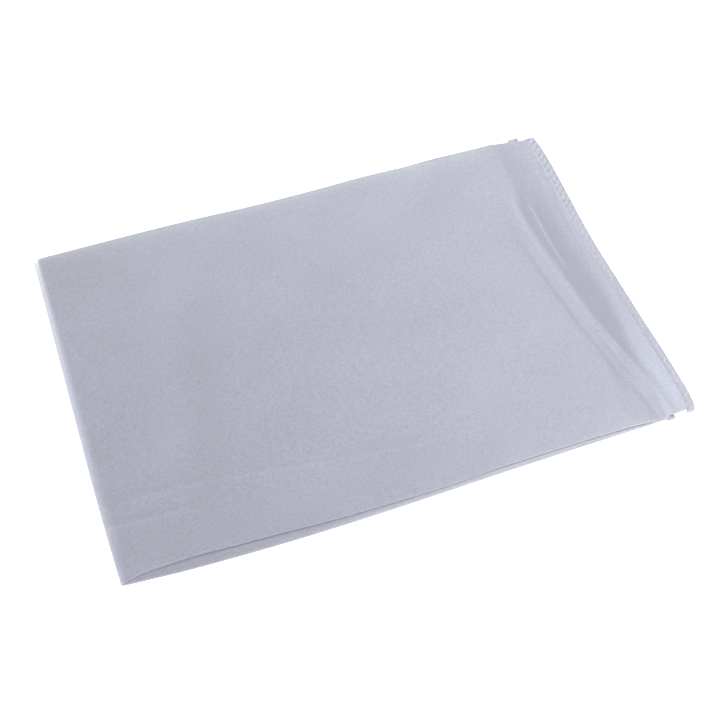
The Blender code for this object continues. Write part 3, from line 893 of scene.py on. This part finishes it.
# Softboxes round the cloth: name, azimuth from +Y to +X, elevation, distance and size in metres, watts
# and colour
LIGHTS = (
    ("right_high", 120.0, 50.0, 0.5, 0.3, 1.44, NEUTRAL),
    ("right", 90.0, 50.0, 0.5, 0.3, 0.42, NEUTRAL),
    ("right_low", 90.0, 25.0, 0.5, 0.3, 0.20, NEUTRAL),
    ("back_right", 30.0, 25.0, 0.5, 0.3, 0.40, COOL),
    ("back", 0.0, 25.0, 0.5, 0.3, 0.40, COOL),
    ("back_left_low", -30.0, 7.0, 3.0, 1.2, 82.0, COOL),
    ("front_left", -120.0, 22.0, 3.0, 1.2, 71.0, WARM),
    ("front_low", -170.0, 7.0, 3.0, 1.2, 10.0, WARM),
)
# The sky gives no light: the floor is a white light table
SKY_STRENGTH = 0.0
FLOOR_GLOW = 1.0
FLOOR_HALF = 3.0
FLOOR_ROUGHNESS = 0.9
FLOOR_SPECULAR = 0.1
FLOOR_PATTERN = ((0.05, 0.05, 0.05), 2.0, 0.0)
FLOOR_TONES = ((0.50, 0.50, 0.505, 1.0), (0.52, 0.52, 0.52, 1.0))
WHITE = (1.0, 1.0, 1.0, 1.0)


def lights():
    """The softboxes and the dark sky."""
    for name, azimuth, elevation, distance, size, watts, colour in LIGHTS:
        data = bpy.data.lights.new(name, "AREA")
        data.shape = "DISK"
        data.size = size
        data.energy = watts
        data.color = colour
        lamp = bpy.data.objects.new(name, data)
        facing = aimed(azimuth + 180.0, elevation)
        forward = facing @ Vector((0.0, 0.0, -1.0))
        lamp.matrix_world = Matrix.Translation(-forward * distance) @ facing.to_4x4()
        bpy.context.collection.objects.link(lamp)
    world = bpy.data.worlds.new("studio")
    world.use_nodes = True
    sky = world.node_tree.nodes["Background"]
    sky.inputs["Color"].default_value = WHITE
    sky.inputs["Strength"].default_value = SKY_STRENGTH
    bpy.context.scene.world = world
    bpy.context.scene.view_settings.view_transform = "Standard"


def floor():
    """The white surface that the cloth lies on."""
    mesh = bpy.data.meshes.new("floor")
    corners = ((-1, -1), (1, -1), (1, 1), (-1, 1))
    points = [(x * FLOOR_HALF, y * FLOOR_HALF, -FLOOR_GAP * MM) for x, y in corners]
    mesh.from_pydata(points, [], [(0, 1, 2, 3)])
    material = bpy.data.materials.new("white_floor")
    material.use_nodes = True
    tree = material.node_tree
    shader = tree.nodes["Principled BSDF"]
    shader.inputs["Roughness"].default_value = FLOOR_ROUGHNESS
    shader.inputs["Specular IOR Level"].default_value = FLOOR_SPECULAR
    shader.inputs["Emission Color"].default_value = WHITE
    shader.inputs["Emission Strength"].default_value = FLOOR_GLOW
    coordinates = tree.nodes.new("ShaderNodeTexCoord").outputs["Object"]
    paper = noise_branch(tree, coordinates, "paper", FLOOR_PATTERN)
    ramp = tree.nodes.new("ShaderNodeMix")
    ramp.data_type = "RGBA"
    ramp.inputs["A"].default_value, ramp.inputs["B"].default_value = FLOOR_TONES
    tree.links.new(paper, ramp.inputs["Factor"])
    tree.links.new(ramp.outputs["Result"], shader.inputs["Base Color"])
    mesh.materials.append(material)
    plane = bpy.data.objects.new("floor", mesh)
    bpy.context.collection.objects.link(plane)


def main():
    """The whole scene round the frame."""
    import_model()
    camera()
    lights()
    floor()
    cloth = satin(FACE_SATIN, thin=True)
    shaded = satin(SHADED_INSIDE_SATIN)
    hemmed = satin(LIT_HEM_SATIN)
    thread = satin(THREAD_SATIN)
    outer = outer_sheet(cloth)
    inner = inner_sheets(shaded)
    upper_hem = hem("hem_upper", upper_right, UPPER_HEM_ENDS, UPPER_HEM, hemmed, "upper_hem")
    lower_hem = hem("hem_lower", lower_right, LOWER_HEM_ENDS, LOWER_HEM, hemmed, "lower_hem")
    upper_thread = stitches("stitches_upper", upper_right, UPPER_HEM_ENDS, UPPER_THREAD_BED, thread)
    lower_thread = stitches("stitches_lower", lower_right, LOWER_HEM_ENDS, LOWER_THREAD_BED, thread)


main()
